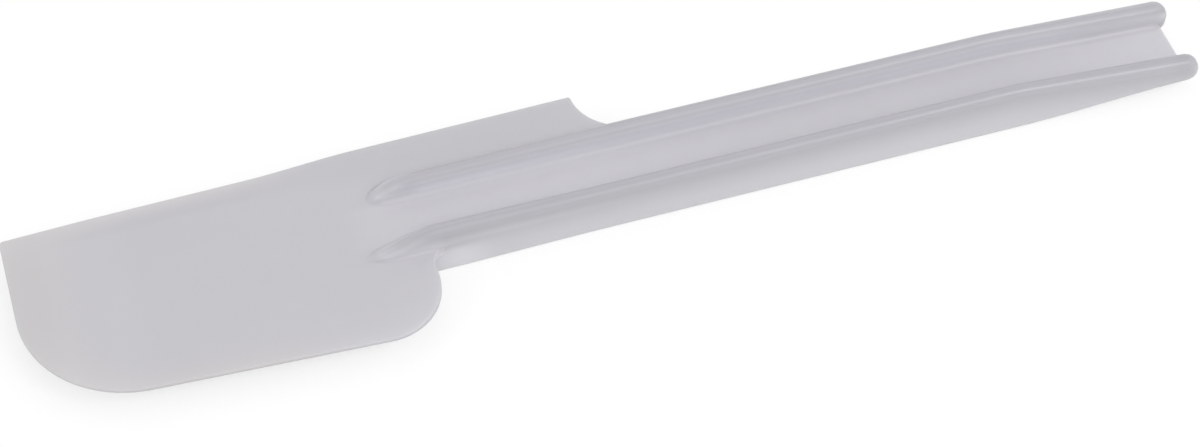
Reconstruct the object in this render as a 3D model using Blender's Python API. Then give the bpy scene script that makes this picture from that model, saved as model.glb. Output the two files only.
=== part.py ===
"""Mixer spatula: one injection moulding with a tapered blade and a channelled grip.

Design frame while modelling: X runs from the blade's tip to the end of the grip,
Y from the grip's middle line towards the blade's straight edge, and Z up from the
blade's upper face. The finished moulding is then set down with its origin under the
middle of its outline, on the surface that the grip's lower edges rest on.
"""

from math import atan, atan2, cos, hypot, pi, radians, sin, sqrt, tan

import bmesh
import bpy
from mathutils import Vector

MM = 0.001

# Blade, seen from above
BLADE_LENGTH = 89.2 * MM            # tip to the square rear edge on the curved side
SHOULDER_REACH = 41.5 * MM          # the straight side runs this much further back
TIP_HALF_STRAIGHT = 21.75 * MM      # grip's middle line to the straight edge, at the tip
SHOULDER_HALF_STRAIGHT = 23.55 * MM  # the same at the shoulder
TIP_HALF_CURVED = 25.25 * MM        # grip's middle line to the curved side's edge line, at the tip
REAR_HALF_CURVED = 30.35 * MM       # the same at the rear edge
SCRAPING_RADIUS = 25.9 * MM         # large round corner that follows a bowl
REAR_RADIUS = 13.2 * MM             # round corner at the rear of the curved side
TIP_CORNER_RADIUS = 1.0 * MM        # small corner between the tip and the straight edge
SHOULDER_RADIUS = 12.0 * MM         # hollow corner between the straight edge and the grip
SHOULDER_SWEEP = radians(74)        # turn of that corner before it eases into the grip
REAR_FILLET_RADIUS = 3.5 * MM       # hollow corner between the rear edge and the grip
REAR_FILLET_SWEEP = radians(70)

# Plate thickness and its thinned edges
PLATE_THICKNESS = 2.2 * MM
TIP_EDGE_THICKNESS = 0.5 * MM
SIDE_EDGE_THICKNESS = 0.95 * MM
TIP_BEVEL_WIDTH = 20.0 * MM
SIDE_BEVEL_WIDTH = 6.5 * MM
BEVEL_FADE_LENGTH = 25.0 * MM       # the straight edge grows back to full thickness over this
BEVEL_FADE_SETBACK = 9.2 * MM       # and is full this far before the rear edge

# Grip: two rails joined by a web that continues the blade
WEB_LENGTH = 269.3 * MM             # tip to the web's square end
RAIL_SPACING = 16.3 * MM            # between the middles of the two rails
RAIL_THICKNESS = 3.6 * MM
RAIL_RISE = 5.1 * MM                # crest above the web
RAIL_DEPTH = 5.2 * MM               # lower edge below the web's underside
RAIL_LEAN = 0.35 * MM               # crests draw in by this where they leave the blade
LEAN_LENGTH = 42.0 * MM             # and stand upright after this length
FOOT_RADIUS = 0.5 * MM              # round on each lower edge of a rail
WEB_FILLET = 0.8 * MM               # inside corner between rail and web

# Rails growing out of the blade
RUNOUT_OVERLAP = 1.3 * MM           # both have their full height this far behind the rear edge
CURVED_RUNOUT_LENGTH = 15.0 * MM    # long, nearly straight ramp on the curved side
CURVED_RUNOUT_POWER = 1.5
STRAIGHT_RUNOUT_LENGTH = 11.5 * MM  # shorter and blunter on the straight side
STRAIGHT_RUNOUT_POWER = 3.0

# Grip end, where web and crests bend down and the lower edges rise to the web
TAPER_LENGTH = 46.5 * MM            # length of that stretch
BEND_SHARE = 0.15                   # part of it that the bend takes up
WEB_DROP = 3.0 * MM                 # fall of the web
CREST_DROP = 3.6 * MM               # fall of the crests
END_WEB_THICKNESS = 1.8 * MM
END_RAIL_DEPTH = 0.4 * MM           # lower edge below the web's underside at the end
END_RAIL_THICKNESS = 4.7 * MM       # the rails swell to this
END_RAIL_SPACING = 17.2 * MM        # and spread to this
END_FOOT_RADIUS = 2.1 * MM          # round on the outer lower edge
FILLET_FADE_LENGTH = 2.0 * MM       # the inside corners sharpen over this before the web's end
NOSE_REACH = 2.65 * MM              # the rails stand out this far past the web
NOSE_LENGTH = 3.8 * MM              # length of their rounded ends
NOSE_FRONT_SHARE = 0.26             # height of the foremost point within the rail's height
NOSE_TIP_SHARE = 0.15               # width and height left at the foremost point

PLASTIC_COLOR = (0.56, 0.56, 0.58, 1.0)
PLASTIC_ROUGHNESS = 0.42
SHARP_ANGLE = radians(30)

# Levels below the blade's upper face
FOOT_LEVEL = -PLATE_THICKNESS - RAIL_DEPTH
END_FOOT_LEVEL = -WEB_DROP - END_WEB_THICKNESS - END_RAIL_DEPTH

# Facets
ARC_STEP = radians(5)
RIM_SEGMENTS = 10
FILLET_SEGMENTS = 4
FOOT_SEGMENTS = 3
RUNOUT_STATIONS = 12
TAPER_STATIONS = 10
NOSE_STATIONS = 7
LEAN_STATIONS = 4
FADE_STATIONS = 8
TOE_SINK = 0.03 * MM                # a fillet's toe ends this far inside the web
LEAST_STEP = 0.25 * MM              # between two levels of a rail's section
LEAST_STEP_SHARE = 0.1              # the same as a share of a low section's height
BURIED_SHARE = 0.35                 # half height of a rail's first section, within the plate's thickness
RIM_SHARE = 0.45                    # largest rounding of the crest, as a share of the section's height
FOOT_SHARE = 0.3                    # the same for the lower edges


def limit(value, low, high):
    return max(low, min(high, value))


def blend(start, end, share):
    return start + (end - start) * share


def ease(share):
    """Smooth 0 to 1 ramp, level at both ends."""
    share = limit(share, 0.0, 1.0)
    return share * share * (3.0 - 2.0 * share)


def straight_edge_slope():
    return (SHOULDER_HALF_STRAIGHT - TIP_HALF_STRAIGHT) / (BLADE_LENGTH + SHOULDER_REACH)


def straight_edge(x):
    """Y of the blade's straight edge at x."""
    return TIP_HALF_STRAIGHT + straight_edge_slope() * x


def curved_edge_slope():
    return -(REAR_HALF_CURVED - TIP_HALF_CURVED) / BLADE_LENGTH


def curved_edge(x):
    """Y of the straight stretch on the blade's curved side, at x."""
    return -TIP_HALF_CURVED + curved_edge_slope() * x


def taper_share(x):
    """0 on the straight grip, then a short bend into a slope that reaches 1 at the web's end."""
    share = limit((x - WEB_LENGTH + TAPER_LENGTH) / TAPER_LENGTH, 0.0, 1.0)
    if share < BEND_SHARE:
        rise = share * share / (2.0 * BEND_SHARE)
    else:
        rise = share - BEND_SHARE / 2.0
    return rise / (1.0 - BEND_SHARE / 2.0)


def web_level(x):
    """Z of the web's upper face at x."""
    return -WEB_DROP * taper_share(x)


def web_underside(x):
    return web_level(x) - blend(PLATE_THICKNESS, END_WEB_THICKNESS, taper_share(x))


def runout_length(side):
    return STRAIGHT_RUNOUT_LENGTH if side > 0 else CURVED_RUNOUT_LENGTH


def runout_share(x, side):
    """0 where a rail is still inside the blade, 1 where it has its full height."""
    power = STRAIGHT_RUNOUT_POWER if side > 0 else CURVED_RUNOUT_POWER
    left = limit((BLADE_LENGTH + RUNOUT_OVERLAP - x) / runout_length(side), 0.0, 1.0)
    return 1.0 - left ** power


def arc(center, radius, start, end):
    """Points on an arc from one angle to another, both ends included."""
    count = max(2, round(abs(end - start) / ARC_STEP))
    angles = [start + (end - start) * step / count for step in range(count + 1)]
    return [(center[0] + radius * cos(a), center[1] + radius * sin(a)) for a in angles]


def bevelled_border():
    """Thinned part of the blade's border, from the straight edge round the tip to the rear edge.

    Each entry is an outer point, how far its upper edge lies below the plate's face,
    and the matching inner point where the bevel reaches that face.
    """
    tip_drop = PLATE_THICKNESS - TIP_EDGE_THICKNESS
    side_drop = PLATE_THICKNESS - SIDE_EDGE_THICKNESS
    fade_end = BLADE_LENGTH - BEVEL_FADE_SETBACK
    border = []

    for step in range(FADE_STATIONS + 1):
        x = fade_end - BEVEL_FADE_LENGTH * step / FADE_STATIONS
        share = ease((fade_end - x) / BEVEL_FADE_LENGTH)
        edge = (x, straight_edge(x))
        border.append((edge, side_drop * share, (x, straight_edge(x) - SIDE_BEVEL_WIDTH * share)))

    inner_corner = (TIP_BEVEL_WIDTH, straight_edge(TIP_BEVEL_WIDTH) - SIDE_BEVEL_WIDTH)
    border.append(((TIP_BEVEL_WIDTH, straight_edge(TIP_BEVEL_WIDTH)), side_drop, inner_corner))

    slope_angle = atan(straight_edge_slope())
    # round corner tangent to the tip and to the straight edge
    corner_y = straight_edge(TIP_CORNER_RADIUS) - TIP_CORNER_RADIUS / cos(slope_angle)
    for point in arc((TIP_CORNER_RADIUS, corner_y), TIP_CORNER_RADIUS, pi / 2 + slope_angle, pi):
        border.append((point, tip_drop, inner_corner))

    slope = curved_edge_slope()
    lean = hypot(1.0, slope)
    round_center = (SCRAPING_RADIUS, curved_edge(SCRAPING_RADIUS) + SCRAPING_RADIUS * lean)
    end_angle = 1.5 * pi + atan(slope)
    for point in arc(round_center, SCRAPING_RADIUS, pi, end_angle):
        turned = atan2(round_center[1] - point[1], round_center[0] - point[0])
        share = ease(turned / (pi / 2))
        reach = 1.0 - blend(TIP_BEVEL_WIDTH, SIDE_BEVEL_WIDTH, share) / SCRAPING_RADIUS
        inner = (round_center[0] + (point[0] - round_center[0]) * reach,
                 round_center[1] + (point[1] - round_center[1]) * reach)
        border.append((point, blend(tip_drop, side_drop, share), inner))

    rear_center = (BLADE_LENGTH - REAR_RADIUS,
                   curved_edge(BLADE_LENGTH - REAR_RADIUS) + REAR_RADIUS * lean)
    for point in arc(rear_center, REAR_RADIUS, end_angle, 2.0 * pi):
        turned = atan2(point[1] - rear_center[1], point[0] - rear_center[0])
        share = ease(-turned / (pi / 2))
        reach = 1.0 - SIDE_BEVEL_WIDTH * share / REAR_RADIUS
        inner = (rear_center[0] + (point[0] - rear_center[0]) * reach,
                 rear_center[1] + (point[1] - rear_center[1]) * reach)
        border.append((point, side_drop * share, inner))
    return border


def shoulder_border():
    """Hollow corner, from inside the rail on the straight side out to the straight edge."""
    corner_x = BLADE_LENGTH + SHOULDER_REACH
    center = (corner_x + SHOULDER_RADIUS, straight_edge(corner_x))
    points = arc(center, SHOULDER_RADIUS, pi + SHOULDER_SWEEP, pi)
    into_rail = (points[0][1] - RAIL_SPACING / 2) * tan(SHOULDER_SWEEP)
    return [(points[0][0] + into_rail, RAIL_SPACING / 2)] + points


def rear_border():
    """Hollow corner, from the rear edge into the rail on the curved side."""
    wall = -(RAIL_SPACING + RAIL_THICKNESS) / 2
    center = (BLADE_LENGTH + REAR_FILLET_RADIUS, wall - REAR_FILLET_RADIUS * sin(REAR_FILLET_SWEEP))
    points = arc(center, REAR_FILLET_RADIUS, pi, pi - REAR_FILLET_SWEEP)
    into_rail = RAIL_THICKNESS / 2 * tan(REAR_FILLET_SWEEP)
    return points + [(points[-1][0] + into_rail, -RAIL_SPACING / 2)]


def add_plate(bm):
    """Blade and web in one plate, with its upper face bevelled down to the thin edges."""
    flat_end = WEB_LENGTH - TAPER_LENGTH
    half = RAIL_SPACING / 2
    border = bevelled_border()
    upper_outer = []
    upper_inner = []
    lower = []
    known = {}

    def vertex(x, y, z):
        key = (round(x, 8), round(y, 8), round(z, 8))
        if key not in known:
            known[key] = bm.verts.new((x, y, z))
        return known[key]

    for (x, y), drop, (inner_x, inner_y) in border:
        upper_outer.append(vertex(x, y, -drop))
        upper_inner.append(vertex(inner_x, inner_y, 0.0))
        lower.append(vertex(x, y, -PLATE_THICKNESS))

    full_edge = rear_border() + [(flat_end, -half), (flat_end, half)] + shoulder_border()
    upper_full = [vertex(x, y, 0.0) for x, y in full_edge]
    lower_full = [vertex(x, y, -PLATE_THICKNESS) for x, y in full_edge]

    def face(*corners):
        loop = [v for n, v in enumerate(corners) if v is not corners[n - 1]]
        if len(set(loop)) > 2:
            bm.faces.new(loop)

    for n in range(len(border) - 1):
        face(upper_outer[n], upper_outer[n + 1], upper_inner[n + 1], upper_inner[n])
    face(*(upper_inner + upper_full))
    face(*reversed(lower + lower_full))

    # sides, except at the web's joint with its bent end
    rim_upper = upper_outer + upper_full
    rim_lower = lower + lower_full
    near_joint = len(rear_border())
    joint = len(upper_outer) + near_joint
    for n in range(len(rim_upper)):
        if n == joint:
            continue
        m = (n + 1) % len(rim_upper)
        face(rim_upper[n], rim_lower[n], rim_lower[m], rim_upper[m])

    # the web's bent end, station by station
    far_joint = near_joint + 1
    last = [upper_full[near_joint], upper_full[far_joint], lower_full[far_joint], lower_full[near_joint]]
    for step in range(1, TAPER_STATIONS + 1):
        x = flat_end + TAPER_LENGTH * step / TAPER_STATIONS
        ring = [vertex(x, -half, web_level(x)), vertex(x, half, web_level(x)),
                vertex(x, half, web_underside(x)), vertex(x, -half, web_underside(x))]
        for n in range(4):
            face(last[n], ring[n], ring[n - 3], last[n - 3])
        last = ring
    face(*last)


def rail_section(x, side):
    """Closed section of a rail at x: pairs of distance from the grip's middle and height."""
    taper = taper_share(x)
    web = web_level(x)
    under = web_underside(x)
    crest = RAIL_RISE - CREST_DROP * taper
    foot = blend(FOOT_LEVEL, END_FOOT_LEVEL, ease(taper))
    half = blend(RAIL_THICKNESS, END_RAIL_THICKNESS, taper) / 2
    middle_line = blend(RAIL_SPACING, END_RAIL_SPACING, taper) / 2
    inner_round = min(FOOT_RADIUS, (under - foot) / 2)
    outer_round = blend(FOOT_RADIUS, END_FOOT_RADIUS, taper)

    # a rail starts inside the blade
    grown = runout_share(x, side)
    middle = (web + under) / 2
    buried = (web - under) * BURIED_SHARE
    crest = blend(middle + buried, crest, grown)
    foot = blend(middle - buried, foot, grown)

    # and ends in a nose past the web
    into_nose = limit((x - WEB_LENGTH - NOSE_REACH) / NOSE_LENGTH + 1.0, 0.0, 1.0)
    kept = blend(NOSE_TIP_SHARE, 1.0, sqrt(1.0 - into_nose ** 2))
    front = blend(foot, crest, NOSE_FRONT_SHARE)
    crest = blend(front, crest, kept)
    foot = blend(front, foot, kept)
    half = half * kept

    height = crest - foot
    rim = min(half, height * RIM_SHARE)
    inner_round = min(inner_round, half, height * FOOT_SHARE)
    outer_round = min(outer_round, half, height * FOOT_SHARE)

    # levels of the inner wall from the rim down, with a fillet above and below the web
    top = crest - rim
    bottom = foot + inner_round
    step = min(LEAST_STEP, (top - bottom) * LEAST_STEP_SHARE)
    fillet = WEB_FILLET * limit((WEB_LENGTH - x) / FILLET_FADE_LENGTH, 0.0, 1.0)
    upper = limit(top - step - web, 0.0, fillet)
    lower = limit(under - bottom - step, 0.0, fillet)
    upper_start = limit(web + upper - TOE_SINK, bottom + 4 * step, top - step)
    upper_end = limit(web - TOE_SINK, bottom + 3 * step, upper_start - step)
    lower_end = limit(under + TOE_SINK, bottom + 2 * step, upper_end - step)
    lower_start = limit(under - lower + TOE_SINK, bottom + step, lower_end - step)

    points = []
    for n in range(RIM_SEGMENTS + 1):
        angle = pi * n / RIM_SEGMENTS
        points.append((half * cos(angle), top + rim * sin(angle)))
    for n in range(FILLET_SEGMENTS + 1):
        angle = pi / 2 * n / FILLET_SEGMENTS
        points.append((-half - upper * (1 - cos(angle)), blend(upper_start, upper_end, sin(angle))))
    for n in range(FILLET_SEGMENTS, -1, -1):
        angle = pi / 2 * n / FILLET_SEGMENTS
        points.append((-half - lower * (1 - cos(angle)), blend(lower_start, lower_end, sin(angle))))
    for n in range(FOOT_SEGMENTS + 1):
        angle = pi / 2 * n / FOOT_SEGMENTS
        points.append((-half + inner_round * (1 - cos(angle)), bottom - inner_round * sin(angle)))
    for n in range(FOOT_SEGMENTS, -1, -1):
        angle = pi / 2 * n / FOOT_SEGMENTS
        points.append((half - outer_round * (1 - cos(angle)), foot + outer_round * (1 - sin(angle))))

    # near the blade the whole section leans inward
    lean = RAIL_LEAN / RAIL_RISE * (1.0 - ease((x - BLADE_LENGTH) / LEAN_LENGTH))
    return [(middle_line + out - lean * (z - web), z) for out, z in points]


def rail_stations(side):
    full = BLADE_LENGTH + RUNOUT_OVERLAP
    upright = BLADE_LENGTH + LEAN_LENGTH
    bend = WEB_LENGTH - TAPER_LENGTH
    fade = WEB_LENGTH - FILLET_FADE_LENGTH
    nose = WEB_LENGTH + NOSE_REACH - NOSE_LENGTH
    stations = [full - runout_length(side) * (1.0 - n / RUNOUT_STATIONS) for n in range(RUNOUT_STATIONS)]
    stations += [blend(full, upright, n / LEAN_STATIONS) for n in range(LEAN_STATIONS + 1)]
    stations += [blend(bend, fade, n / TAPER_STATIONS) for n in range(TAPER_STATIONS + 1)]
    stations += [nose + NOSE_LENGTH * sin(pi / 2 * n / NOSE_STATIONS) for n in range(NOSE_STATIONS + 1)]
    return sorted(stations + [WEB_LENGTH])


def add_rail(bm, side):
    """One rail, lofted through its sections; side is +1 by the straight edge and -1 opposite."""
    rings = []
    for x in rail_stations(side):
        rings.append([bm.verts.new((x, side * out, z)) for out, z in rail_section(x, side)])
    for ring, following in zip(rings, rings[1:]):
        for n in range(len(ring)):
            bm.faces.new((ring[n - 1], ring[n], following[n], following[n - 1]))
    bm.faces.new(rings[0])
    bm.faces.new(rings[-1])


def mesh_object(name, build, *arguments):
    """Object from a building function, with its faces turned outward."""
    bm = bmesh.new()
    build(bm, *arguments)
    bmesh.ops.recalc_face_normals(bm, faces=bm.faces)
    mesh = bpy.data.meshes.new(name)
    bm.to_mesh(mesh)
    bm.free()
    mesh.shade_smooth()
    mesh.set_sharp_from_angle(angle=SHARP_ANGLE)
    item = bpy.data.objects.new(name, mesh)
    bpy.context.scene.collection.objects.link(item)
    return item


def footprint_origin():
    """Point under the middle of the outline, at the height of the rails' lower edges."""
    outline = [outer for outer, drop, inner in bevelled_border()] + shoulder_border()
    ys = [y for x, y in outline]
    length = WEB_LENGTH + NOSE_REACH
    return Vector((length / 2, (min(ys) + max(ys)) / 2, FOOT_LEVEL))


def milky_plastic():
    material = bpy.data.materials.new("milky_plastic")
    material.use_nodes = True
    shader = material.node_tree.nodes["Principled BSDF"]
    shader.inputs["Base Color"].default_value = PLASTIC_COLOR
    shader.inputs["Roughness"].default_value = PLASTIC_ROUGHNESS
    shader.inputs["Metallic"].default_value = 0.0
    return material


def main():
    for item in list(bpy.data.objects):
        bpy.data.objects.remove(item, do_unlink=True)

    origin = footprint_origin()
    moulding = mesh_object("spatula_moulding", add_plate)
    moulding.location = -origin
    for side, name in ((1, "rail_by_straight_edge"), (-1, "rail_by_curved_edge")):
        rail = mesh_object(name, add_rail, side)
        rail.location = -origin
        rail.hide_render = True
        rail.display_type = "WIRE"
        union = moulding.modifiers.new(name, "BOOLEAN")
        union.operation = "UNION"
        union.solver = "EXACT"
        union.object = rail
    triangles = moulding.modifiers.new("triangles", "TRIANGULATE")
    triangles.quad_method = "BEAUTY"
    triangles.ngon_method = "BEAUTY"
    moulding.data.materials.append(milky_plastic())


main()
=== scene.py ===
from math import acos, asin, atan, cos, hypot, pi, radians, sin, sqrt

import bmesh
import bpy
import numpy as np
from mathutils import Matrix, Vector


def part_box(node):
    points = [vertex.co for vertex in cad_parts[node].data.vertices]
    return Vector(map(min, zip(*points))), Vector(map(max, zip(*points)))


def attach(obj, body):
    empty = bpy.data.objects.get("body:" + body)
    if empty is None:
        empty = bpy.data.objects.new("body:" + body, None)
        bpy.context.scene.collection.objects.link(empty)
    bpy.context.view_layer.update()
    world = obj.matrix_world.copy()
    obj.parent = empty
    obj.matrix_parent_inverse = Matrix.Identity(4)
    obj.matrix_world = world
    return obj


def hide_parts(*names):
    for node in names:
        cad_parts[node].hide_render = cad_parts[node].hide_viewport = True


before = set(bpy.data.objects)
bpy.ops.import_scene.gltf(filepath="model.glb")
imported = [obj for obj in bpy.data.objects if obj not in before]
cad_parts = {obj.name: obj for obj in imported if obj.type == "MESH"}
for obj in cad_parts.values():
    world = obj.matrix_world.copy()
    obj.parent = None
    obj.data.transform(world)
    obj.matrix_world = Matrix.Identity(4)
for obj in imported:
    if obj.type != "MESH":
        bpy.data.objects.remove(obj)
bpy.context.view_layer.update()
print("frame loaded")

mm = 0.001

# The moulding is drawn in mm: x from the blade's tip to the end of the grip, y from the grip's middle
# line towards the straight edge, z up from the blade's face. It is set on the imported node's box at the end.
blade = {
    "length": 89.2,            # tip to the square rear edge
    "shoulder": 130.7,         # tip to the end of the straight edge
    "tipStraight": 21.75,      # middle line to the straight edge at the tip
    "shoulderStraight": 23.55,  # and at the shoulder
    "tipCurved": 25.25,        # middle line to the curved side's edge line at the tip
    "rearCurved": 30.35,       # and at the rear edge
    "scrapingRadius": 25.9,
    "rearRadius": 13.2,
    "tipCorner": 1.0,
    "shoulderCorner": 0.6,
    "shoulderHollow": 12.0,    # hollow corner between the straight edge and the grip
    "shoulderSweep": 74.0,     # degrees before it eases into the grip
    "rearHollow": 3.5,
    "thickness": 2.2,
    "tipEdge": 0.5,            # thickness left at the tip
    "sideEdge": 0.95,          # and along the thin sides
    "tipBevel": 20.0,          # width of the tip's long bevel
    "sideBevel": 6.5,
    "bevelFadeEnd": 80.0,      # the straight edge is back to full thickness here
    "bevelFade": 25.0,
    "bevelSoftness": 0.15,     # half width of the soft line where a bevel starts, as a share of its width
    "tipRound": 0.22,          # round on the thin edge
    "edgeRound": 0.4,          # round on the full edge
    "roundGrowth": 25.0,
}
grip = {
    "webLength": 269.3,        # tip to the web's square end
    "railSpacing": 16.3,
    "railThickness": 3.6,
    "railRise": 5.1,           # crest above the web
    "railDepth": 5.2,          # foot below the web's underside
    "railLean": 0.35,          # the crests draw in by this where they leave the blade
    "leanLength": 42.0,
    "footRound": 0.5,
    "fillet": 0.8,             # inside corners
    "channelFillet": 1.5,      # and those of the channels
    "runoutOverlap": 1.3,
    "runoutLength": {1: 10.9, -1: 14.6},   # straight side, curved side
    "runoutPower": {1: 2.4, -1: 1.4},
    "runoutSoftness": 0.8,     # soft start of the ramp, in mm of height
    "taper": 46.5,             # length of the bent end
    "bendShare": 0.15,
    "webDrop": 3.0,
    "crestDrop": 3.6,
    "endWeb": 1.8,             # thickness of the web at its end
    "endDepth": 0.4,
    "endThickness": 4.7,
    "endSpacing": 17.2,
    "endFootRound": 2.1,       # round of the outer lower edge
    "endRound": 0.35,          # round on the web's end
    "filletFade": 2.0,
    "noseReach": 2.65,
    "noseLength": 3.8,
    "noseFront": 0.26,         # height of the foremost point as a share of the rail's
    "nosePower": 2.3,          # fullness of the nose
    "outerTopDrop": 1.3,       # at the end the outer wall's upper line lies lower by this
    "outerFootDrop": 0.5,      # and its lower line by this
    "outerFilletLoss": 0.7,    # and this share of its fillet is gone
}
surface = {
    "ridgeRows": 20,           # points from the middle of a rail to its foot on the plate
    "rimRows": 4,              # steps round each corner of the plate's edge
    "webRows": 12,
    "flapRows": 18,
    "endRows": 5,
    "arcSteps": 40,
    "rowLength": 0.45,         # mm of length that earn a point
    "rowTurn": radians(9),     # turn that earns a point
    "samePoint": 1e-9,         # mm
    "spans": (                 # from, to, steps along the moulding
        (0.0, 5.5, 11), (5.5, 6.4, 6), (6.4, 24.0, 20), (24.0, 70.0, 36), (70.0, 74.0, 6),
        (74.0, 85.0, 34), (85.0, 92.7, 24), (92.7, 128.2, 28), (128.2, 129.0, 6), (129.0, 139.2, 16),
        (139.2, 154.0, 20), (154.0, 222.8, 24), (222.8, 232.0, 18), (232.0, 267.0, 30),
        (267.0, 268.15, 6), (268.15, 268.95, 4)),
    "endRoundSteps": 5,
    "noseSteps": 14,
    "noseGap": 0.05,           # mm from the web's end to the first station of the nose, at least
    "leastStep": 0.02,         # mm between stations, at least
    "curvedStops": (24.0, 74.0, 85.0),                # stations where the legs of an outline end
    "straightStops": (5.5, 6.4, 128.2, 129.0, 139.2),
    "bendReach": 20.0,         # mm over which the stations bend to the tip's outline
    "overhangShare": {1: 0.3, -1: 1.0},    # part of an outline's last arc that draws the rail's fillet in
    "filletFollow": 0.45,      # part of the plate's overhang that a fillet may fill
    "wallShare": 0.3,          # part of the space beside a rail that a round may take
    "roundShare": 0.45,        # part of the plate's thickness that a round may take
    "flapPull": 0.11,          # draws a face's points towards its two borders
    "sharpAngle": radians(40),
    "weld": 1e-6,              # m
    "sliver": 1e-8,
}


def limit(value, low, high):
    return max(low, min(high, value))


def blend(start, end, share):
    return start + (end - start) * share


def ease(share):
    share = limit(share, 0.0, 1.0)
    return share * share * (3 - 2 * share)


# rises out of nothing with a soft start instead of a kink
def softRise(value, margin):
    if value <= -margin:
        return 0.0
    if value >= margin:
        return value
    return (value + margin) ** 2 / (4 * margin)


def taperShare(x):
    share = limit((x - grip["webLength"] + grip["taper"]) / grip["taper"], 0.0, 1.0)
    bend = grip["bendShare"]
    rise = share * share / (2 * bend) if share < bend else share - bend / 2
    return rise / (1 - bend / 2)


# rounding of the web's end, as a loss of height on each face
def endLoss(x):
    into = x - grip["webLength"] + grip["endRound"]
    if into <= 0:
        return 0.0
    return grip["endRound"] - sqrt(max(0.0, grip["endRound"] ** 2 - min(into, grip["endRound"]) ** 2))


def webTop(x):
    return -grip["webDrop"] * taperShare(x) - endLoss(x)


def webBottom(x):
    taper = taperShare(x)
    return -grip["webDrop"] * taper - blend(blade["thickness"], grip["endWeb"], taper) + endLoss(x)


# how far a rail has grown out of the blade: 0 to 1
def railGrowth(x, side):
    left = max(0.0, (blade["length"] + grip["runoutOverlap"] - x) / grip["runoutLength"][side])
    ramp = (1 - left ** grip["runoutPower"][side]) * grip["railRise"]
    return softRise(ramp, grip["runoutSoftness"]) / grip["railRise"]


# one walk along the blade's outline, as arcs and lines: length, turn, and where it ends along the rail
def walkPoint(walk, x):
    (px, py), heading = walk["start"], walk["heading"]
    begin = 0.0
    for length, turn, end in walk["legs"]:
        share = limit((x - begin) / (end - begin), 0.0, 1.0)
        turned = turn * share
        if turn:
            radius = length / turn
            nx = px + radius * (sin(heading + turned) - sin(heading))
            ny = py - radius * (cos(heading + turned) - cos(heading))
        else:
            nx = px + length * share * cos(heading)
            ny = py + length * share * sin(heading)
        if x <= end or end == walk["legs"][-1][2]:
            return nx, ny, heading + turned
        px, py, heading, begin = nx, ny, heading + turn, end


def straightEdge(x):
    return blade["tipStraight"] + (blade["shoulderStraight"] - blade["tipStraight"]) / blade["shoulder"] * x


curvedSlope = (blade["tipCurved"] - blade["rearCurved"]) / blade["length"]


def curvedEdge(x):
    return -blade["tipCurved"] + curvedSlope * x


curvedLean = hypot(1, curvedSlope)
railWall = (grip["railSpacing"] + grip["railThickness"]) / 2
railFoot = railWall + grip["fillet"]
scrapingCenter = (blade["scrapingRadius"],
                  curvedEdge(blade["scrapingRadius"]) + blade["scrapingRadius"] * curvedLean)
rearX = blade["length"] - blade["rearRadius"]
rearCenter = (rearX, curvedEdge(rearX) + blade["rearRadius"] * curvedLean)


# angle round the scraping corner of the tip's edge at y, for an edge set in by some distance
def tipAngle(y, inset):
    return asin(limit((scrapingCenter[1] - y) / (blade["scrapingRadius"] - inset), 0.0, 1.0))


def tipLine(y, inset):
    return blade["scrapingRadius"] - (blade["scrapingRadius"] - inset) * cos(tipAngle(y, inset))


def curvedWalk():
    radius = blade["scrapingRadius"]
    first = tipAngle(-railFoot, blade["tipRound"])
    last = pi / 2 + atan(curvedSlope)
    start = (radius - radius * cos(first), scrapingCenter[1] - radius * sin(first))
    edgeStart = (radius - radius * cos(last), scrapingCenter[1] - radius * sin(last))
    rear = blade["rearRadius"]
    edgeEnd = (rearCenter[0] - rear * cos(last), rearCenter[1] - rear * sin(last))
    turn = pi - last
    hollow = blade["rearHollow"]
    merge = blade["length"] + hollow
    stops = surface["curvedStops"]
    return {
        "start": start, "heading": first - pi / 2, "merge": merge, "ease": hollow,
        "legs": [
            (radius * (last - first), last - first, stops[0]),
            (hypot(edgeEnd[0] - edgeStart[0], edgeEnd[1] - edgeStart[1]), 0.0, stops[1]),
            (rear * turn, turn, stops[2]),
            (-railWall - hollow - rearCenter[1], 0.0, merge - hollow * pi / 2),
            (hollow * pi / 2, -pi / 2, merge)],
    }


def straightWalk():
    slope = atan((blade["shoulderStraight"] - blade["tipStraight"]) / blade["shoulder"])
    corner = blade["tipCorner"]
    tipEnd = straightEdge(corner) - corner / cos(slope)
    small = blade["shoulderCorner"]
    skipped = small / blade["shoulderHollow"]
    sweep = radians(blade["shoulderSweep"])
    cornerTurn = pi / 2 - skipped + slope
    radius = blade["shoulderHollow"]
    lowest = blade["shoulderStraight"] - radius * sin(sweep)
    easeTurn = pi / 2 - sweep
    easeRadius = (lowest - railWall) / (1 - cos(easeTurn))
    merge = blade["shoulder"] + radius * (1 - cos(sweep)) + easeRadius * sin(easeTurn)
    edge = (blade["shoulder"] - small - corner) / cos(slope)
    stops = surface["straightStops"]
    return {
        "start": (0.0, -railFoot), "heading": -pi / 2, "merge": merge, "ease": easeRadius,
        "legs": [
            (tipEnd - railFoot, 0.0, stops[0]),
            (corner * (pi / 2 - slope), pi / 2 - slope, stops[1]),
            (edge, 0.0, stops[2]),
            (small * cornerTurn, cornerTurn, stops[3]),
            (radius * (sweep - skipped), skipped - sweep, stops[4]),
            (easeRadius * easeTurn, -easeTurn, merge)],
    }


walks = {-1: curvedWalk(), 1: straightWalk()}


# share of a bevel's drop that is left at some part of its width, with a soft inner line
def bevelShare(part):
    return softRise(1 - part, blade["bevelSoftness"])


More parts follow.
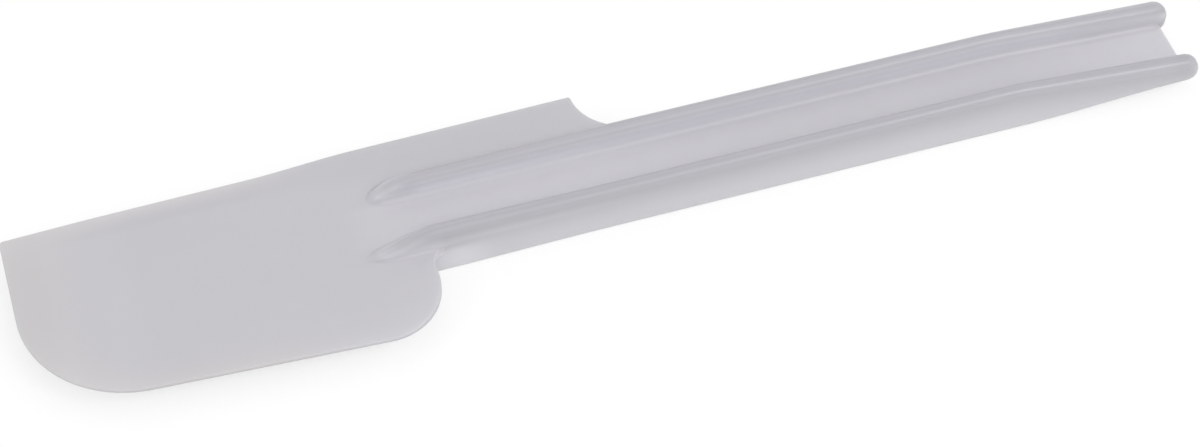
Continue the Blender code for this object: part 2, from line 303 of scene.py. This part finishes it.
# how far the blade's face lies below the plate's at a point, from its bevels
def faceDrop(x, y):
    tipFull = blade["thickness"] - blade["tipEdge"]
    sideFull = blade["thickness"] - blade["sideEdge"]
    cx, cy = scrapingCenter
    rx, ry = rearCenter
    tip = 0.0
    if y >= cy:
        tip = tipFull * bevelShare(x / blade["tipBevel"])
    else:
        depth = (y - curvedEdge(x)) / curvedLean
        turned = np.arctan2(cy - y, cx - x)
        lastTurn = pi / 2 + atan(curvedSlope)
        if turned < lastTurn:
            share = ease(turned / (pi / 2))
            depth = blade["scrapingRadius"] - hypot(cx - x, cy - y)
            width = blend(blade["tipBevel"], blade["sideBevel"], share)
            tip = blend(tipFull, sideFull, share) * bevelShare(depth / width)
        elif x < rx:
            tip = sideFull * bevelShare(depth / blade["sideBevel"])
        elif y < ry:
            share = ease(np.arctan2(ry - y, x - rx) / (pi / 2))
            depth = blade["rearRadius"] - hypot(x - rx, y - ry)
            tip = sideFull * share * bevelShare(depth / blade["sideBevel"])
    fade = ease((blade["bevelFadeEnd"] - x) / blade["bevelFade"])
    side = sideFull * fade * bevelShare((straightEdge(x) - y) / blade["sideBevel"])
    return tip + side - tip * side / tipFull


# half of a ridge's section: from the middle of its top over the corner, down its wall and out along the
# fillet to the face. Pairs of distance from the middle and height; fade draws the fillet into the wall
def ridgeSide(half, corner, fillet, fade, height):
    level = height - corner
    inner = half - corner
    if level >= fillet:
        turn = pi / 2
        toe = half + fillet
    else:
        turn = acos(limit((fillet - level) / (corner + fillet), -1.0, 1.0))
        toe = inner + sqrt(max(0.0, (corner + fillet) ** 2 - (fillet - level) ** 2))
    angles = np.linspace(0, turn, surface["arcSteps"])
    over = np.stack([inner + corner * np.sin(angles), level + corner * np.cos(angles)], 1)
    away = np.stack([toe - fillet * np.sin(angles[::-1]), fillet - fillet * np.cos(angles[::-1])], 1)
    curve = np.vstack([[[0.0, height]], over, away, [[half + fillet, 0.0]]])
    outside = curve[:, 0] > half
    curve[outside, 0] = half + (curve[outside, 0] - half) * fade
    return spacedPoints(curve, surface["ridgeRows"])


# the same number of points on every curve, closer together where it turns
def spacedPoints(curve, count):
    steps = np.diff(curve, axis=0)
    lengths = np.hypot(steps[:, 0], steps[:, 1])
    keep = lengths > surface["samePoint"]
    curve = np.vstack([curve[:1], curve[1:][keep]])
    steps, lengths = steps[keep], lengths[keep]
    headings = np.unwrap(np.arctan2(steps[:, 1], steps[:, 0]))
    turns = np.abs(np.diff(headings))
    weights = lengths / surface["rowLength"]
    weights[:-1] += turns / 2 / surface["rowTurn"]
    weights[1:] += turns / 2 / surface["rowTurn"]
    places = np.concatenate([[0.0], np.cumsum(weights)])
    wanted = np.linspace(0.0, places[-1], count)
    return np.stack([np.interp(wanted, places, curve[:, 0]), np.interp(wanted, places, curve[:, 1])], 1)


# how far the plate stands out from a rail's wall at x, near where its outline runs into the rail
def overhang(x, side):
    left = walks[side]["merge"] - x
    radius = walks[side]["ease"]
    if left <= 0:
        return 0.0
    if left >= radius * surface["overhangShare"][side]:
        return radius
    return radius - sqrt(radius ** 2 - left ** 2)


# depths of the rows on the plate's edge below its face, for a given round
def rimLevels(thickness, rounding):
    steps = surface["rimRows"]
    upper = [rounding * (1 - cos(pi / 2 * n / steps)) for n in range(steps + 1)]
    return upper + [thickness / 2] + [thickness - drop for drop in reversed(upper)]


# all parts of a rail's section at a station, as lists of (x, y, z)
def railParts(x, side):
    taper = taperShare(x)
    growth = railGrowth(x, side)
    top, bottom = webTop(x), webBottom(x)
    half = blend(grip["railThickness"], grip["endThickness"], taper) / 2
    middle = blend(grip["railSpacing"], grip["endSpacing"], taper) / 2
    crest = grip["railRise"] - grip["crestDrop"] * taper
    endFoot = -grip["webDrop"] - grip["endWeb"] - grip["endDepth"]
    foot = blend(-blade["thickness"] - grip["railDepth"], endFoot, ease(taper))
    fillet = grip["fillet"]
    innerFillet = grip["channelFillet"]
    outerFade = limit(surface["filletFollow"] * overhang(x, side) / fillet, 0.0, 1.0)
    innerFade = limit((grip["webLength"] - x) / grip["filletFade"], 0.0, 1.0)
    merged = x >= walks[side]["merge"]
    upperLevel = -grip["outerTopDrop"] * taper if merged else 0.0
    lowerLevel = -blade["thickness"] - grip["outerFootDrop"] * taper
    outerFillet = fillet * (1 - grip["outerFilletLoss"] * taper)
    outerRound = blend(grip["footRound"], grip["endFootRound"], taper)
    parts = {}
    for name, level, corner, size, fade, height, up in (
            ("upperOuter", upperLevel, half, outerFillet, outerFade, crest - upperLevel, 1),
            ("upperInner", top, half, innerFillet, innerFade, crest - top, 1),
            ("lowerOuter", lowerLevel, outerRound, outerFillet, outerFade, lowerLevel - foot, -1),
            ("lowerInner", bottom, grip["footRound"], innerFillet, innerFade, bottom - foot, -1)):
        away = 1 if name.endswith("Outer") else -1
        curve = ridgeSide(half, corner, size, fade, height * growth)
        parts[name] = [(middle + away * out, level + up * high) for out, high in curve]
    outer = middle + half
    levels = rimLevels(upperLevel - lowerLevel, blade["edgeRound"])
    parts["outerBand"] = [parts["upperOuter"][-1]] + [(outer, upperLevel - drop) for drop in levels[1:-1]]
    parts["outerBand"].append(parts["lowerOuter"][-1])
    rows = surface["endRows"]
    parts["innerBand"] = [(middle - half, blend(top, bottom, n / rows)) for n in range(rows + 1)]

    # the end closes in a rounded nose
    into = limit((x - grip["webLength"] - grip["noseReach"]) / grip["noseLength"] + 1, 0.0, 1.0)
    kept = max(0.0, 1 - into ** grip["nosePower"]) ** (1 / grip["nosePower"])
    front = blend(foot, crest, grip["noseFront"])
    upright = ease((x - blade["length"]) / grip["leanLength"])
    lean = grip["railLean"] / grip["railRise"] * (1 - upright) * growth
    placed = {}
    for name, points in parts.items():
        placed[name] = []
        for out, level in points:
            out = middle + (out - middle) * kept
            z = front + (level - front) * kept
            placed[name].append((x, side * (out - lean * (z - top)), z))
    return placed


# near the tip the stations bend to follow its outline
def bentStation(x, y):
    share = max(0.0, 1 - x / surface["bendReach"])
    return x + tipLine(y, blade["tipRound"]) * share * share


def onFace(point):
    x, y, z = point
    x = bentStation(x, y)
    return x, y, z - faceDrop(x, y)


def onUnderside(point):
    x, y, z = point
    return bentStation(x, y), y, z


# rows over the plate's edge at a point of its outline, from the face to the underside. Away is the direction
# out of the plate, and reach is how far from the edge line its round begins
def edgeRows(x, y, away, reach, rounding):
    insetX, insetY = x - away[0] * reach, y - away[1] * reach
    top = -faceDrop(insetX, insetY)
    thickness = blade["thickness"] + top
    levels = rimLevels(thickness, min(rounding, surface["roundShare"] * thickness))
    steps = surface["rimRows"]
    points = []
    for n, drop in enumerate(levels):
        out = reach * sin(pi / 2 * min(n, len(levels) - 1 - n, steps) / steps)
        points.append((insetX + away[0] * out, insetY + away[1] * out, top - drop))
    return points


def sideRim(x, side):
    outX, outY, heading = walkPoint(walks[side], x)
    start = surface["straightStops"][1] if side > 0 else 0.0
    rounding = blend(blade["tipRound"], blade["edgeRound"], ease((x - start) / blade["roundGrowth"]))
    reach = min(rounding, surface["wallShare"] * (abs(outY) - railWall))
    return edgeRows(outX, -side * outY, (sin(heading), side * cos(heading)), reach, rounding)


# the rim across the tip follows the scraping corner
def tipRim(y):
    radius = blade["scrapingRadius"]
    angle = tipAngle(y, blade["tipRound"])
    if angle > 0:
        y = scrapingCenter[1] - radius * sin(angle)
    away = (-cos(angle), -sin(angle))
    return edgeRows(radius - radius * cos(angle), y, away, blade["tipRound"], blade["tipRound"])


def stationList():
    stations = []
    for start, end, steps in surface["spans"]:
        stations += [blend(start, end, n / steps) for n in range(steps)]
    roundStart = grip["webLength"] - grip["endRound"]
    steps = surface["endRoundSteps"]
    stations += [roundStart + grip["endRound"] * sin(pi / 2 * n / steps) for n in range(steps)]
    fixed = [walks[-1]["merge"], walks[1]["merge"], grip["webLength"]]
    stations += fixed
    noseStart = grip["webLength"] + grip["noseReach"] - grip["noseLength"]
    nose = [noseStart + grip["noseLength"] * sin(pi / 2 * n / surface["noseSteps"])
            for n in range(surface["noseSteps"] + 1)]
    stations += [x for x in nose if x > grip["webLength"] + surface["noseGap"]]
    kept = []
    for x in sorted(stations):
        if not kept or x - kept[-1] >= surface["leastStep"]:
            kept.append(x)
        elif x in fixed:
            kept[-1] = x
    return kept


def flapShare(n):
    share = n / surface["flapRows"]
    return share - surface["flapPull"] * sin(2 * pi * share)


class Skin:
    def __init__(self):
        self.points = []
        self.faces = []

    # quads over a grid given as rows of points
    def addGrid(self, rows):
        first = len(self.points)
        width = len(rows[0])
        for row in rows:
            self.points.extend(row)
        for r in range(len(rows) - 1):
            for c in range(width - 1):
                corner = first + r * width + c
                self.faces.append((corner, corner + 1, corner + width + 1, corner + width))


ridges = {"upperOuter": onFace, "upperInner": onFace, "lowerOuter": onUnderside, "lowerInner": onUnderside}


# a rail's parts at all stations. Up to where the plate ends they follow its bevels and the tip's outline
def railSections(stations, side, merge):
    sections = [railParts(x, side) for x in stations]
    for section in sections[:merge]:
        for name, settle in ridges.items():
            section[name] = [settle(point) for point in section[name]]
    for section in sections:
        section["innerBand"][0] = section["upperInner"][-1]
        section["innerBand"][-1] = section["lowerInner"][-1]
    return sections


def blendPoint(start, end, share):
    return tuple(blend(a, b, share) for a, b in zip(start, end))


# the plate's two faces at a station, from a rail's outer foot to the edge
def flapRows(section, rim):
    shares = [flapShare(n) for n in range(surface["flapRows"] + 1)]
    start, end = section["upperOuter"][-1], rim[0]
    upper = []
    for share in shares:
        x, y = blend(start[0], end[0], share), blend(start[1], end[1], share)
        upper.append((x, y, -faceDrop(x, y)))
    upper[0], upper[-1] = start, end
    lower = [blendPoint(section["lowerOuter"][-1], rim[-1], share) for share in shares]
    return upper, lower


# the web's two faces at a station, from rail to rail
def webRows(x, curved, straight):
    shares = [n / surface["webRows"] for n in range(surface["webRows"] + 1)]
    ends = {name: (curved[name][-1], straight[name][-1]) for name in ("upperInner", "lowerInner")}
    upper, lower = [], []
    for share in shares:
        y = blend(ends["upperInner"][0][1], ends["upperInner"][1][1], share)
        upper.append(onFace((x, y, webTop(x))))
        y = blend(ends["lowerInner"][0][1], ends["lowerInner"][1][1], share)
        z = blend(ends["lowerInner"][0][2], ends["lowerInner"][1][2], share)
        lower.append(onUnderside((x, y, z)))
    upper[0], upper[-1] = ends["upperInner"]
    lower[0], lower[-1] = ends["lowerInner"]
    if x == grip["webLength"]:
        start, end = upper[0][2], upper[-1][2]
        upper = [(px, py, blend(start, end, share)) for (px, py, pz), share in zip(upper, shares)]
    return upper, lower


def mouldingSkin():
    skin = Skin()
    stations = stationList()
    webEnd = stations.index(grip["webLength"])
    rails, rims = {}, {}
    for side in (-1, 1):
        merge = stations.index(walks[side]["merge"])
        sections = railSections(stations, side, merge)
        for name in ridges:
            skin.addGrid([section[name] for section in sections])
        skin.addGrid([section["outerBand"] for section in sections[merge:]])
        skin.addGrid([section["innerBand"] for section in sections[webEnd:]])
        rims[side] = [sideRim(x, side) for x in stations[:merge]] + [sections[merge]["outerBand"]]
        flaps = [flapRows(section, rim) for section, rim in zip(sections, rims[side])]
        skin.addGrid([upper for upper, lower in flaps])
        skin.addGrid([lower for upper, lower in flaps])
        rails[side] = sections

    web = [webRows(stations[j], rails[-1][j], rails[1][j]) for j in range(webEnd + 1)]
    skin.addGrid([upper for upper, lower in web])
    skin.addGrid([lower for upper, lower in web])
    rows = surface["endRows"]
    skin.addGrid([[blendPoint(u, l, n / rows) for u, l in zip(*web[-1])] for n in range(rows + 1)])

    # the plate's edge, from the straight side's shoulder round the tip to the rear edge
    straight, curved = rails[1][0], rails[-1][0]
    across = straight["upperOuter"][::-1] + straight["upperInner"][1:] + web[0][0][::-1][1:]
    across += curved["upperInner"][::-1][1:] + curved["upperOuter"][1:]
    tip = [tipRim(y) for x, y, z in across[1:-1]]
    skin.addGrid(rims[1][::-1] + tip + rims[-1])
    return skin


def makeMoulding():
    low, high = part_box("spatula_moulding")
    skin = mouldingSkin()
    face = low.z + (blade["thickness"] + grip["railDepth"]) * mm
    offset = Vector((low.x, high.y - blade["shoulderStraight"] * mm, face))
    mesh = bpy.data.meshes.new("mouldingSurface")
    points = [Vector(p) * mm + offset for p in skin.points]
    for point in points:
        point.y = max(point.y, low.y)      # the curved side bulges 0.005 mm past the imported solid's facets
    mesh.from_pydata(points, [], skin.faces)
    work = bmesh.new()
    work.from_mesh(mesh)
    bmesh.ops.remove_doubles(work, verts=work.verts, dist=surface["weld"])
    bmesh.ops.dissolve_degenerate(work, edges=work.edges, dist=surface["sliver"])
    bmesh.ops.recalc_face_normals(work, faces=work.faces)
    openEdges = sum(1 for edge in work.edges if len(edge.link_faces) != 2)
    print("moulding:", len(work.faces), "faces,", openEdges, "open edges")
    work.to_mesh(mesh)
    work.free()
    mesh.shade_smooth()
    mesh.set_sharp_from_angle(angle=surface["sharpAngle"])
    moulding = bpy.data.objects.new("mouldingSurface", mesh)
    bpy.context.scene.collection.objects.link(moulding)
    return moulding


moulding = makeMoulding()
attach(moulding, "root")
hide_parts("spatula_moulding")
print("moulding made")


# wraps a socket, so that shader maths reads as plain expressions
class Wire:
    def __init__(self, tree, socket=None):
        self.tree = tree
        self.socket = socket

    # any node: its type, its settings, which are set first, and the values or links of its sockets
    def node(self, kind, settings=None, sockets=None, output=0):
        made = self.tree.nodes.new(kind)
        for name, value in (settings or {}).items():
            if name == "stops":
                while len(made.color_ramp.elements) < len(value):
                    made.color_ramp.elements.new(0.5)
                for element, (place, color) in zip(made.color_ramp.elements, value):
                    element.position = place
                    element.color = color
            else:
                setattr(made, name, value)
        for name, value in (sockets or {}).items():
            if isinstance(value, Wire):
                self.tree.links.new(value.socket, made.inputs[name])
            else:
                made.inputs[name].default_value = value
        return Wire(self.tree, made.outputs[output] if made.outputs else None)

    def maths(self, operation, first, second=0):
        return self.node("ShaderNodeMath", {"operation": operation}, {0: first, 1: second})

    def __add__(self, other):
        return self.maths("ADD", self, other)

    __radd__ = __add__

    def __sub__(self, other):
        return self.maths("SUBTRACT", self, other)

    def __rsub__(self, other):
        return self.maths("SUBTRACT", other, self)

    def __mul__(self, other):
        return self.maths("MULTIPLY", self, other)

    __rmul__ = __mul__

    # a soft step, 0 at off and beyond it, 1 at full and beyond that. It falls where off is the larger number
    def between(self, off, full):
        return self.node("ShaderNodeMapRange", {"interpolation_type": "SMOOTHSTEP"},
                         {"Value": self, "From Min": off, "From Max": full})

    # noise with this position as its vector, whose lumps have the given size
    def noise(self, size, detail):
        sockets = {"Vector": self, "Scale": 1 / size, "Detail": detail}
        return self.node("ShaderNodeTexNoise", None, sockets, "Fac")


plastic = {
    # height over the table in mm, and the colour there, with painted light and shade: lighter low down and
    # darker up on the crests, standing in for light that comes through the thin plastic from the table below
    "heightColorsWithPaintedLight": (
        (0.0, (0.680, 0.674, 0.704)),
        (4.5, (0.618, 0.611, 0.645)),
        (6.4, (0.580, 0.572, 0.602)),
        (7.4, (0.563, 0.555, 0.588)),
        (9.2, (0.518, 0.511, 0.542)),
        (11.3, (0.475, 0.468, 0.499)),
        (12.5, (0.446, 0.439, 0.471))),
    "thinTint": (1.0, 0.985, 0.955, 1),    # warmer where the tip is thin
    "bendDrop": 3.3,           # mm that the bent end of the grip lies lower
    "railStart": (70, 80),     # mm from the tip over which the rails' own tones set in
    "farTurn": (0.05, 0.35),   # how far a face turns to the straight side before it counts as turned away
    "tipTurn": (0.30, 0.60),   # and how far to the tip
    "tipTurnShare": 0.7,       # but only as much as this
    "cloudSize": 0.018,        # m, and how much the clouding in the plastic changes its colour
    "cloudStrength": 0.016,
    "cloudStretch": 0.45,      # the clouds are drawn out along the moulding
    "cloudDetail": 3,
    "fleckSize": 0.0012,
    "fleckStrength": 0.005,
    "fleckDetail": 1,
    "roughness": 0.315,
    "roughnessChange": 0.03,
    "grainSize": 0.00045,      # m, the fine grain of the mould
    "grainDepth": 0.000004,
    "grainDetail": 2,
    "waveSize": 0.012,         # m, the slight unevenness of a moulded face
    "waveDepth": 0.00002,
    "waveDetail": 1,
    "subsurface": 0.4,
    "radius": (1.0, 1.0, 1.0),
    "depth": 0.004,
}

# steps that several zones share, each as where it is 0 and where it is full, in mm
railLine = grip["railSpacing"] / 2
farSide, nearSide = (-1, 1), (1, -1)
outside, inside = (railLine - 0.2, railLine + 0.2), (railLine + 0.2, railLine - 0.2)
thinAlong, thinHeight = (75, 45), (7.3, 6.0)
wallBand = {"fromRail": ((0.8, 1.8), (4.8, 3.0)), "height": ((7.2, 9.1), (12.2, 10.8))}
channelBand = {"offCenter": ((2.5, 5.2), (6.6, 5.2)), "height": ((6.0, 7.0),)}
webBand = {"offCenter": ((6.6, 4.8),), "height": ((6.0, 7.0),)}
foldBand = {"across": (farSide,), "offCenter": ((3.8, 5.2), inside), "along": ((238, 256),)}

# Painted light and painted shade: places where the tone isn't what the height alone gives, lifted where
# corners, creases and the channel would lie in shade or where light comes through the thin plastic, and
# darkened where they would come out too light. Each gives the change of tone, and the soft steps round the
# place. along is in mm from the tip, across in mm from the grip's middle line to the straight side, offCenter
# in mm from that line, fromRail in mm from a rail's middle line, height in mm over the table. front, turned
# and level are parts of the
# normal: to the tip, to the straight side, and up or down
paintedZones = {
    # painted light and shade on the rails
    "rails": {
        "channelWalls": (0.32, {**wallBand, "offCenter": (inside,)}),      # painted light, standing in for light through the rails
        "nearOuterWall": (0.24, {
            **wallBand, "offCenter": (outside,), "across": (nearSide,), "along": ((93, 87),)}),
        "innerCrests": (0.05, {"offCenter": (inside,), "height": ((10.8, 11.8),)}),
        "channel": (0.085, {**channelBand, "along": ((78, 88),)}),         # painted light on the web along the walls, where it lies in shade
        "farChannel": (-0.06, {**channelBand, "across": (farSide,), "along": ((115, 160),)}),
        "fold": (-0.04, {      # painted shade in the channel's far corner towards the grip's end
            "across": (farSide,), "offCenter": ((5.2, 6.0), (7.6, 6.4)),
            "along": ((130, 235),), "height": ((9.6, 8.4),)}),
        "lowFoldEnd": (-0.08, {**foldBand, "height": ((9.6, 8.6),)}),
        "highFoldEnd": (-0.08, {**foldBand, "height": ((10.2, 11.0), (12.4, 11.2))}),
        "farContour": (0.14, {
            "across": (farSide,), "offCenter": ((railLine, railLine + 1),), "height": ((9.5, 11.0),)}),
        "nearShoulder": (0.05, {
            "across": (nearSide,), "offCenter": (inside,), "fromRail": ((0.6, 1.4),),
            "height": ((8.0, 9.5),)}),
        "nearFoot": (0.10, {   # painted light on the near rail's foot on the blade, lifting the shade in its crease
            "across": (nearSide,), "offCenter": (outside,), "fromRail": ((4.2, 2.2),),
            "along": ((76, 86), (93, 87)), "height": ((6.4, 7.0), (9.2, 8.0))}),
        "nearCrease": (0.08, {     # painted light just above it, on faces turned to the near side
            "across": (nearSide,), "offCenter": (outside,), "turned": ((-0.30, -0.65),),
            "along": ((96, 92),), "height": ((7.5, 7.8), (8.8, 8.0))}),
        "farLip": (-0.05, {    # painted shade on the far rail's near shoulder where it starts
            "across": (farSide,), "turned": ((-0.25, -0.60),),
            "along": ((75, 80), (86, 82)), "height": ((8.8, 9.6),)}),
        "farBrow": (0.08, {    # painted light on its top
            "across": (farSide,), "turned": ((-0.15, 0.10),),
            "along": ((75, 80), (91, 87)), "height": ((8.8, 9.6),)}),
        "ramps": (-0.04, {     # the near faces of the run-outs
            "front": ((0.08, 0.25), (0.50, 0.30)), "turned": ((-0.30, -0.60),),
            "along": ((70, 76), (87, 81)), "height": ((7.3, 7.7),)}),
        "runouts": (0.09, {"along": ((150, 100),), "height": ((7.6, 8.6),)}),      # painted light on what stands over the blade
        "runoutTops": (-0.045, {"along": ((150, 100),), "height": ((8.8, 10.5),)}),    # painted shade: less of that light higher up
        "laterTops": (-0.045, {"along": ((80, 92), (150, 100)), "height": ((8.8, 10.5),)}),
        "rearCorner": (0.19, {     # painted light lifting the shade on the near rail's wall behind the blade's rear edge
            "across": ((-8.5, -9.5),), "along": ((86, 90), (106, 93)), "height": ((7.5, 5.5),)}),
    },
    # painted light on faces turned away where the rails fade into the blade
    "away": {
        "fade": (0.12, {"along": ((70, 76), (70, 80), (95, 79)), "height": ((7.41, 7.5),)}),
    },
    # painted light on the web and painted shade on the walls, more and more along the bent end
    "bend": {
        "webEnd": (0.11, webBand),
        "wallEnds": (-0.096, {**wallBand, "offCenter": (inside,)}),
    },
    # painted light and shade everywhere
    "plate": {
        "webStart": (0.05, {**webBand, "along": ((70, 82), (190, 120))}),
        "uprightFaces": (-0.10, {"level": ((0.8, 0.3),)}),     # painted shade: the plate's thin edge is darker
        "gripFaces": (0.10, {      # but not the grip's walls
            "level": ((0.8, 0.3),), "along": ((88, 92),), "offCenter": ((12.5, 11.5),)}),
        "nose": (-0.04, {"along": ((262, 270),)}),
        "straightBevel": (0.10, {
            "across": ((14.5, 20.5),), "along": ((6, 28), thinAlong), "height": (thinHeight,)}),
        "flange": (-0.035, {       # painted shade on the plate beyond the far rail
            "across": ((11, 18),), "along": ((60, 80),), "height": ((8.8, 7.8),)}),
        "tip": (-0.04, {"along": ((9, 0),)}),
        "tipBand": (0.025, {"along": ((5, 11), (30, 20))}),
    },
}


# the painted light and shade from all zones, as a change of tone. Measures are what the steps go by, shares
# what a group is multiplied by
def paintedZoneTone(measures, shares):
    paintedTone = 0
    for group, places in paintedZones.items():
        for change, bounds in places.values():
            part = change
            for name, steps in bounds.items():
                for off, full in steps:
                    part = part * measures[name].between(off, full)
            paintedTone = paintedTone + part * shares[group]
    return paintedTone


def makePlastic():
    low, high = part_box("spatula_moulding")
    middle = high.y - blade["shoulderStraight"] * mm
    material = bpy.data.materials.new("milkyPlastic")
    material.use_nodes = True
    tree = material.node_tree
    shader = tree.nodes["Principled BSDF"]
    place = Wire(tree).node("ShaderNodeTexCoord", None, None, "Object")
    spot = place.node("ShaderNodeVectorMath", {"operation": "SUBTRACT"}, {0: place, 1: (low.x, middle, 0)})
    spot = spot.node("ShaderNodeVectorMath", {"operation": "SCALE"}, {0: spot, "Scale": 1 / mm})
    along, across, height = [spot.node("ShaderNodeSeparateXYZ", None, {0: spot}, axis) for axis in "XYZ"]

    # colour by height, with its painted light and shade, on a grip with its bent end straightened
    bendStart = grip["webLength"] - grip["taper"] * (1 - grip["bendShare"] / 2)
    sockets = {"Value": along, "From Min": bendStart, "From Max": grip["webLength"]}
    bend = along.node("ShaderNodeMapRange", None, sockets)
    height = height + bend * plastic["bendDrop"]
    top = plastic["heightColorsWithPaintedLight"][-1][0]
    stops = [(level / top, color + (1,)) for level, color in plastic["heightColorsWithPaintedLight"]]
    color = height.node("ShaderNodeValToRGB", {"stops": stops}, {0: height * (1 / top)})
    thin = height.between(*thinHeight) * along.between(*thinAlong)
    sockets = {0: thin, 6: (1, 1, 1, 1), 7: plastic["thinTint"]}
    tint = color.node("ShaderNodeMix", {"data_type": "RGBA"}, sockets, 2)
    color = color.node("ShaderNodeVectorMath", {"operation": "MULTIPLY"}, {0: color, 1: tint})

    # painted light and shade by place and by the way that a face is turned
    normal = place.node("ShaderNodeNewGeometry", None, None, "Normal")
    behind, turned, up = [normal.node("ShaderNodeSeparateXYZ", None, {0: normal}, axis) for axis in "XYZ"]
    front = 0 - behind
    offCenter = across.maths("ABSOLUTE", across)
    away = turned.between(*plastic["farTurn"])
    away = away.maths("MAXIMUM", away, front.between(*plastic["tipTurn"]) * plastic["tipTurnShare"])
    measures = {
        "along": along, "across": across, "offCenter": offCenter, "height": height,
        "fromRail": offCenter.maths("ABSOLUTE", offCenter - railLine),
        "front": front, "turned": turned, "level": up.maths("ABSOLUTE", up),
    }
    shares = {"rails": along.between(*plastic["railStart"]), "away": away, "bend": bend, "plate": 1}
    paintedTone = paintedZoneTone(measures, shares)

    stretch = (plastic["cloudStretch"], 1, 1)
    flow = place.node("ShaderNodeVectorMath", {"operation": "MULTIPLY"}, {0: place, 1: stretch})
    cloud = flow.noise(plastic["cloudSize"], plastic["cloudDetail"]) - 0.5
    fleck = place.noise(plastic["fleckSize"], plastic["fleckDetail"]) - 0.5
    shift = cloud * (2 * plastic["cloudStrength"]) + fleck * (2 * plastic["fleckStrength"])
    sockets = {0: color, "Scale": 1 + paintedTone + shift}
    color = color.node("ShaderNodeVectorMath", {"operation": "SCALE"}, sockets)
    roughness = cloud * (2 * plastic["roughnessChange"]) + plastic["roughness"]

    wave = place.noise(plastic["waveSize"], plastic["waveDetail"])
    grain = place.noise(plastic["grainSize"], plastic["grainDetail"])
    sockets = {"Strength": 1.0, "Distance": plastic["waveDepth"], "Height": wave}
    bump = place.node("ShaderNodeBump", None, sockets)
    sockets = {"Strength": 1.0, "Distance": plastic["grainDepth"], "Height": grain, "Normal": bump}
    bump = place.node("ShaderNodeBump", None, sockets)
    for name, wire in (("Base Color", color), ("Roughness", roughness), ("Normal", bump)):
        tree.links.new(wire.socket, shader.inputs[name])
    shader.inputs["Subsurface Weight"].default_value = plastic["subsurface"]
    shader.inputs["Subsurface Radius"].default_value = plastic["radius"]
    shader.inputs["Subsurface Scale"].default_value = plastic["depth"]
    return material


moulding.data.materials.append(makePlastic())
print("plastic made")

studio = {
    "camera": (-0.117345, -0.354401, 0.46164),
    "turn": (radians(38.412), 0, radians(-17.386)),
    "lens": 79.68,             # mm, on a sensor of this width
    "sensor": 36,
    "floorSize": 6.0,
    "floorDrop": 0.0002,       # m below the moulding's feet
    "floorBounce": 0.88,       # albedo of the floor for everything but the camera
    "floorShade": 0.3,         # part of the seen floor that takes shadow
    "floorLight": 0.95,        # light that falls on the open floor
    "sky": 0.635,
}
lamps = (                      # name, place, what it points at, width, height, radiance
    ("frontLamp", (0.15, -0.95, 1.3), (0, 0, 0), 1.2, 0.9, 1.1),
    ("backLamp", (0.0, 0.95, 1.3), (0, 0, 0), 1.2, 0.9, 0.5),
    ("leftLamp", (-1.4, -0.2, 0.9), (0, 0, 0), 1.0, 0.9, 1.0),
    ("rightLamp", (1.4, -0.2, 0.9), (0, 0, 0), 1.0, 0.9, 1.0),
    ("stripLamp", (0.45, -0.49, 0.80), (0.1, 0, 0), 0.6, 0.04, 14.0),
    ("endLamp", (0.57, -0.49, 0.80), (0.12, 0, 0), 0.26, 0.04, 30.0),
)


def makeLamp(name, place, target, width, height, radiance):
    data = bpy.data.lights.new(name, "AREA")
    data.shape = "RECTANGLE"
    data.size = width
    data.size_y = height
    data.energy = radiance * pi * width * height
    lamp = bpy.data.objects.new(name, data)
    lamp.location = place
    lamp.rotation_euler = (Vector(target) - Vector(place)).to_track_quat("-Z", "Y").to_euler()
    bpy.context.scene.collection.objects.link(lamp)


def makeStudio():
    scene = bpy.context.scene
    scene.view_settings.view_transform = "Standard"

    cameraData = bpy.data.cameras.new("camera")
    cameraData.lens = studio["lens"]
    cameraData.sensor_width = studio["sensor"]
    camera = bpy.data.objects.new("camera", cameraData)
    camera.location = studio["camera"]
    camera.rotation_euler = studio["turn"]
    scene.collection.objects.link(camera)
    scene.camera = camera
    for lamp in lamps:
        makeLamp(*lamp)

    half = studio["floorSize"] / 2
    floorMesh = bpy.data.meshes.new("floor")
    corners = [(-half, -half, 0), (half, -half, 0), (half, half, 0), (-half, half, 0)]
    floorMesh.from_pydata(corners, [], [(0, 1, 2, 3)])
    floor = bpy.data.objects.new("floor", floorMesh)
    scene.collection.objects.link(floor)
    floor.location.z = -studio["floorDrop"]
    material = bpy.data.materials.new("floorWhite")
    material.use_nodes = True
    tree = material.node_tree
    tree.nodes.clear()
    start = Wire(tree)
    seen = start.node("ShaderNodeLightPath")
    bounce = start.node("ShaderNodeBsdfDiffuse", None, {"Color": (studio["floorBounce"],) * 3 + (1,)})
    shade = start.node("ShaderNodeBsdfDiffuse", None, {"Color": (studio["floorShade"],) * 3 + (1,)})
    strength = 1 - studio["floorShade"] * studio["floorLight"]
    glow = start.node("ShaderNodeEmission", None, {"Strength": strength})
    lit = start.node("ShaderNodeAddShader", None, {0: shade, 1: glow})
    mixed = start.node("ShaderNodeMixShader", None, {0: seen, 1: bounce, 2: lit})
    start.node("ShaderNodeOutputMaterial", None, {"Surface": mixed})
    floorMesh.materials.append(material)

    world = bpy.data.worlds.new("studio")
    scene.world = world
    world.use_nodes = True
    tree = world.node_tree
    tree.nodes.clear()
    start = Wire(tree)
    seen = start.node("ShaderNodeLightPath")
    strength = seen * (1 - studio["sky"]) + studio["sky"]
    background = start.node("ShaderNodeBackground", None, {"Color": (1, 1, 1, 1), "Strength": strength})
    start.node("ShaderNodeOutputWorld", None, {"Surface": background})


makeStudio()
print("studio made")
